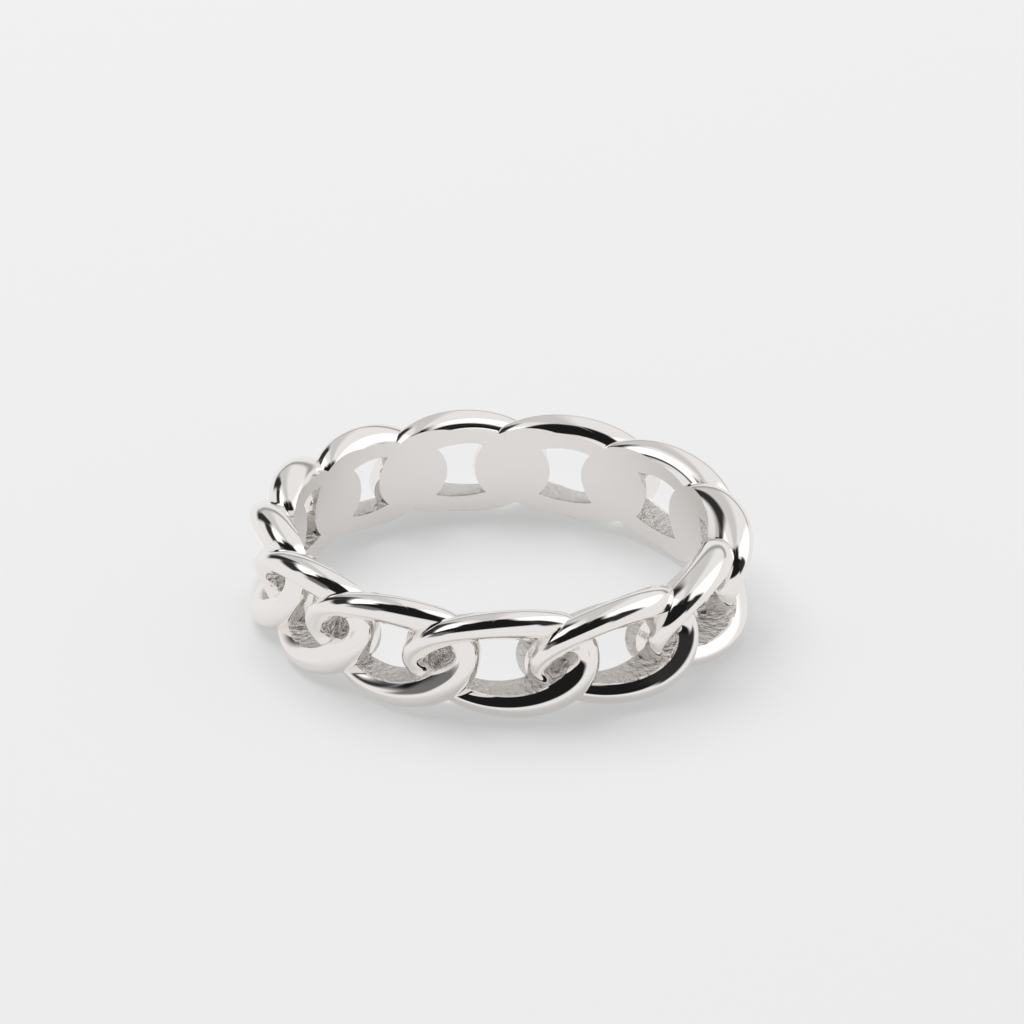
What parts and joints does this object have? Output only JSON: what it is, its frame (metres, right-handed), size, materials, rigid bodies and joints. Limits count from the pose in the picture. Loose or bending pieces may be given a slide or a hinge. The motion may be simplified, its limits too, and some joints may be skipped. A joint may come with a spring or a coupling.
{
  "type": "chain link band ring",
  "caption": "Finger ring shaped as a rigid band of twisted oval curb chain links, cast in one piece of bright silver.",
  "frame": {"origin": "on the surface that the ring lies on, on the axis of the finger hole", "axes": "+Z along the axis of the finger hole, upwards; +X to the right and +Y away from the camera"},
  "size_m": [0.0213, 0.0213, 0.0046],
  "materials": {
    "silver": "polished silver outside, satin on the finger side, rough as cast in the recesses"
  },
  "bodies": {
    "root": {"link_band": "silver"}
  },
  "joints": []
}
